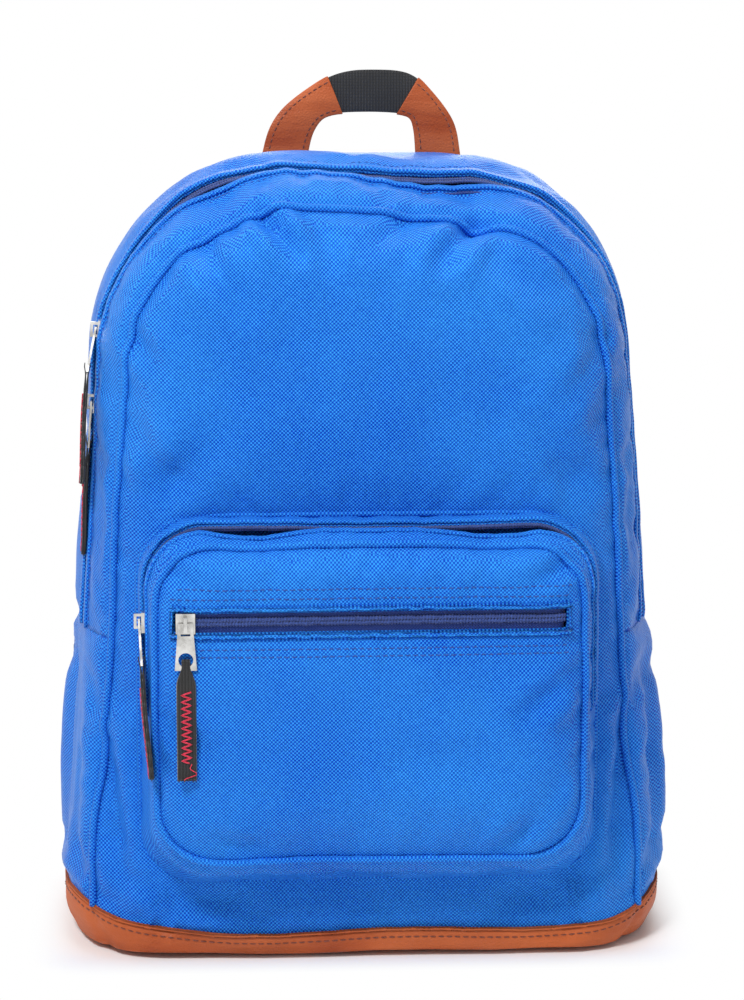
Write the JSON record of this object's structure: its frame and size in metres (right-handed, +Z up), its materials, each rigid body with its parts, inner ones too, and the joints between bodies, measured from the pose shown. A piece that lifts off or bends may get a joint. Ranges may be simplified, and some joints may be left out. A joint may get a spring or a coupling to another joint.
{
  "type": "school backpack",
  "caption": "Fabric school backpack with a leather base, arched main zip, organiser pocket with its own zip, front zip, haul loop and padded shoulder straps.",
  "frame": {"origin": "middle of the flat bottom, on the surface the bag stands on", "axes": "+Z up, -Y towards the front panel, +X to the right as seen from the front"},
  "size_m": [0.3414, 0.2403, 0.488],
  "materials": {
    "leather": "satin",
    "blue_fabric": "matte",
    "lining": "matte",
    "foam": "matte",
    "zip_tape": "matte",
    "nickel": "polished",
    "webbing": "matte",
    "black_plastic": "satin"
  },
  "bodies": {
    "root": {"leather_base": "leather", "back_panel": "blue_fabric", "back_foam": "foam", "back_lining": "lining", "side_panel_left": "blue_fabric", "side_panel_right": "blue_fabric", "rear_gusset": "blue_fabric", "front_gusset_end_left": "blue_fabric", "front_gusset_end_right": "blue_fabric", "front_panel_lower": "blue_fabric", "front_piping_left": "blue_fabric", "front_piping_right": "blue_fabric", "main_zip_rear": "zip_tape", "main_zip_end_left": "zip_tape", "main_zip_end_right": "zip_tape", "organiser_hood": "blue_fabric", "organiser_gusset_lower": "blue_fabric", "organiser_zip_rear": "zip_tape", "organiser_face_lower": "blue_fabric", "organiser_piping_lower": "blue_fabric", "strap_yoke": "blue_fabric", "strap_webbing_left": "webbing", "strap_webbing_right": "webbing", "strap_anchor_left": "blue_fabric", "strap_anchor_right": "blue_fabric"},
    "main_flap": {"front_gusset": "blue_fabric", "front_panel_upper": "blue_fabric", "front_piping_upper": "blue_fabric", "main_zip_front": "zip_tape"},
    "organiser_flap": {"organiser_face_upper": "blue_fabric", "organiser_front_gusset": "blue_fabric", "organiser_zip_front": "zip_tape", "organiser_piping_upper": "blue_fabric", "front_zip": "zip_tape", "front_zip_pocket": "lining"},
    "upper_slider": {"main_upper_slider": "nickel"},
    "upper_pull": {"main_upper_pull": "nickel"},
    "upper_tab": {"main_upper_tab": "webbing"},
    "lower_slider": {"main_lower_slider": "nickel"},
    "lower_pull": {"main_lower_pull": "nickel"},
    "lower_tab": {"main_lower_tab": "webbing"},
    "pocket_slider": {"organiser_slider": "nickel"},
    "pocket_pull": {"organiser_pull": "nickel"},
    "pocket_tab": {"organiser_tab": "webbing"},
    "front_slider": {"front_zip_slider": "nickel"},
    "front_pull": {"front_zip_pull": "nickel"},
    "front_tab": {"front_zip_tab": "webbing"},
    "haul_loop": {"haul_loop": "webbing", "haul_loop_cover_left": "leather", "haul_loop_cover_right": "leather"},
    "strap_left": {"shoulder_strap_left": "blue_fabric", "strap_foam_left": "foam", "lock_loop_left": "webbing"},
    "strap_right": {"shoulder_strap_right": "blue_fabric", "strap_foam_right": "foam", "lock_loop_right": "webbing"},
    "lock_left": {"ladder_lock_left": "black_plastic"},
    "lock_right": {"ladder_lock_right": "black_plastic"}
  },
  "joints": [
    {"name": "main_flap_fold", "type": "hinge", "parent": "root", "child": "main_flap", "pos_m": [0, -0.077, 0.25615], "axis": [1, 0, 0], "range_deg": [0, 60]},
    {"name": "organiser_flap_fold", "type": "hinge", "parent": "root", "child": "organiser_flap", "pos_m": [0, -0.119, 0.09815], "axis": [1, 0, 0], "range_deg": [0, 35]},
    {"name": "upper_slider_run", "type": "hinge", "parent": "root", "child": "upper_slider", "pos_m": [-0.05109, -0.022, 0.34166], "axis": [0, 1, 0], "range_deg": [0, 68]},
    {"name": "upper_pull_lift", "type": "hinge", "parent": "upper_slider", "child": "upper_pull", "pos_m": [-0.14852, -0.022, 0.34847], "axis": [-0.0668, 0.9403, -0.3339], "range_deg": [0, 80]},
    {"name": "upper_tab_swing", "type": "hinge", "parent": "upper_pull", "child": "upper_tab", "pos_m": [-0.15324, -0.03031, 0.32602], "axis": [-0.0415, 0.9774, -0.2074], "range_deg": [0, 30]},
    {"name": "lower_slider_run", "type": "slide", "parent": "root", "child": "lower_slider", "axis": [-0.073, 0, -0.9973], "range_m": [0, 0.12]},
    {"name": "lower_pull_lift", "type": "hinge", "parent": "lower_slider", "child": "lower_pull", "pos_m": [-0.15149, -0.022, 0.30792], "axis": [0, 1, 0], "range_deg": [0, 80]},
    {"name": "lower_tab_swing", "type": "hinge", "parent": "lower_pull", "child": "lower_tab", "pos_m": [-0.15327, -0.022, 0.28358], "axis": [0, 1, 0], "range_deg": [0, 30]},
    {"name": "pocket_slider_run", "type": "slide", "parent": "organiser_flap", "child": "pocket_slider", "axis": [0, 0, -1], "range_m": [-0.005, 0.044]},
    {"name": "pocket_pull_lift", "type": "hinge", "parent": "pocket_slider", "child": "pocket_pull", "pos_m": [-0.1254, -0.091, 0.199], "axis": [0, 0.9409, -0.3387], "range_deg": [0, 80]},
    {"name": "pocket_tab_swing", "type": "hinge", "parent": "pocket_pull", "child": "pocket_tab", "pos_m": [-0.12402, -0.09925, 0.17608], "axis": [0, 0.9701, -0.2425], "range_deg": [0, 7]},
    {"name": "front_slider_run", "type": "slide", "parent": "organiser_flap", "child": "front_slider", "axis": [1, 0, 0], "range_m": [0, 0.2]},
    {"name": "front_pull_lift", "type": "hinge", "parent": "front_slider", "child": "front_pull", "pos_m": [-0.1, -0.1214, 0.204], "axis": [-1, 0, 0], "range_deg": [0, 80]},
    {"name": "front_tab_swing", "type": "hinge", "parent": "front_pull", "child": "front_tab", "pos_m": [-0.1, -0.1214, 0.1796], "axis": [-1, 0, 0], "range_deg": [0, 15]},
    {"name": "haul_loop_flop", "type": "hinge", "parent": "root", "child": "haul_loop", "pos_m": [0, 0.0727, 0.438], "axis": [1, 0, 0], "range_deg": [-80, 70], "stiffness_Nm_per_rad": 0.03},
    {"name": "strap_left_swing", "type": "hinge", "parent": "root", "child": "strap_left", "pos_m": [-0.054, 0.0813, 0.3877], "axis": [1, 0, 0], "range_deg": [0, 18]},
    {"name": "strap_right_swing", "type": "hinge", "parent": "root", "child": "strap_right", "pos_m": [0.054, 0.0813, 0.3877], "axis": [1, 0, 0], "range_deg": [0, 18]},
    {"name": "lock_left_tilt", "type": "hinge", "parent": "strap_left", "child": "lock_left", "pos_m": [-0.151, 0.093, 0.13755], "axis": [1, 0, 0], "range_deg": [0, 15]},
    {"name": "lock_right_tilt", "type": "hinge", "parent": "strap_right", "child": "lock_right", "pos_m": [0.151, 0.093, 0.13755], "axis": [1, 0, 0], "range_deg": [0, 15]}
  ]
}
